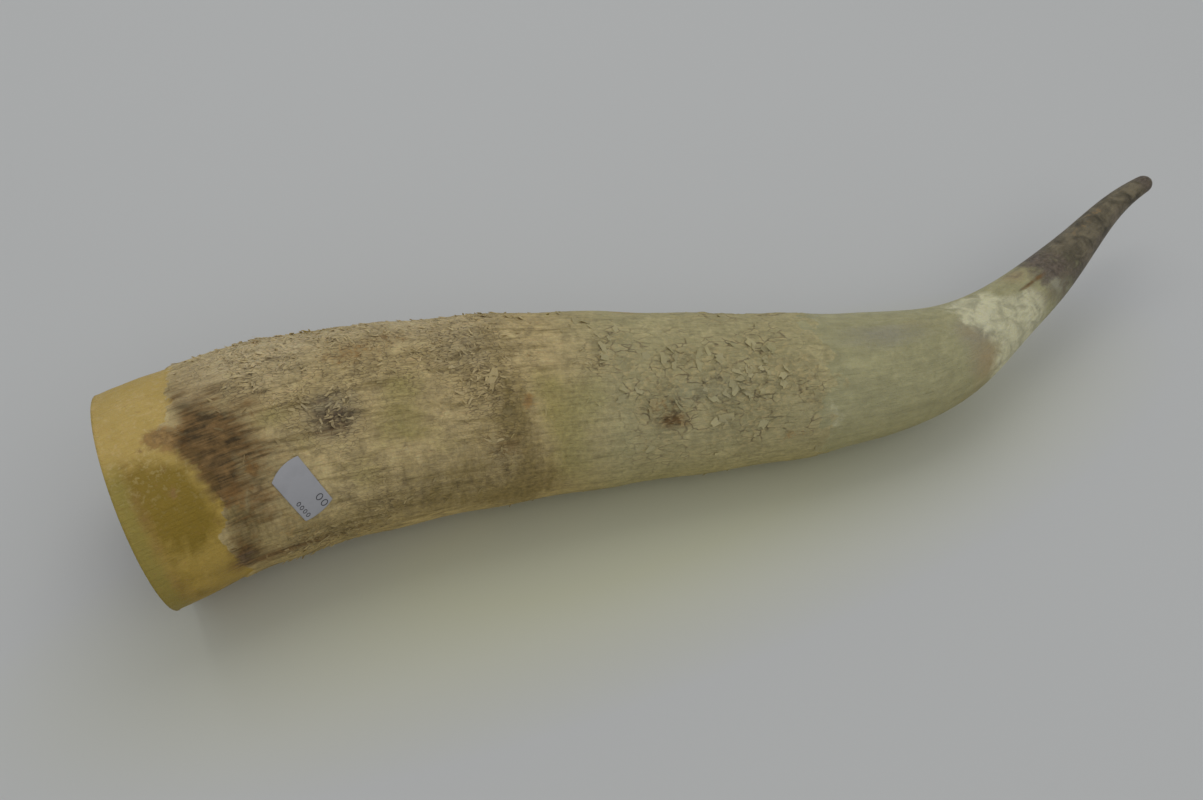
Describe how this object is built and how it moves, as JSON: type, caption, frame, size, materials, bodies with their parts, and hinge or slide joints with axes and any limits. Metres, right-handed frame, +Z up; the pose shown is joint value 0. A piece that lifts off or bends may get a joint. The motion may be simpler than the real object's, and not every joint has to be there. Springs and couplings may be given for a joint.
{
  "type": "watusi horn",
  "caption": "Long curved cattle horn, hollow from its sawn base and solid at its blunt tip, with flaky bark and a small price label.",
  "frame": {"origin": "middle of the horn's outline on the surface it lies on", "axes": "+X from the sawn base to the tip, +Z up, the bend of the middle towards -Y"},
  "size_m": [0.514, 0.1336, 0.0882],
  "materials": {
    "keratin": "waxy and translucent at the base, dry flaky bark over most of its length, smooth towards a dark tip",
    "label_paper": "thin smooth white paper"
  },
  "bodies": {
    "root": {"horn": "keratin", "price_label": "label_paper"}
  },
  "joints": []
}
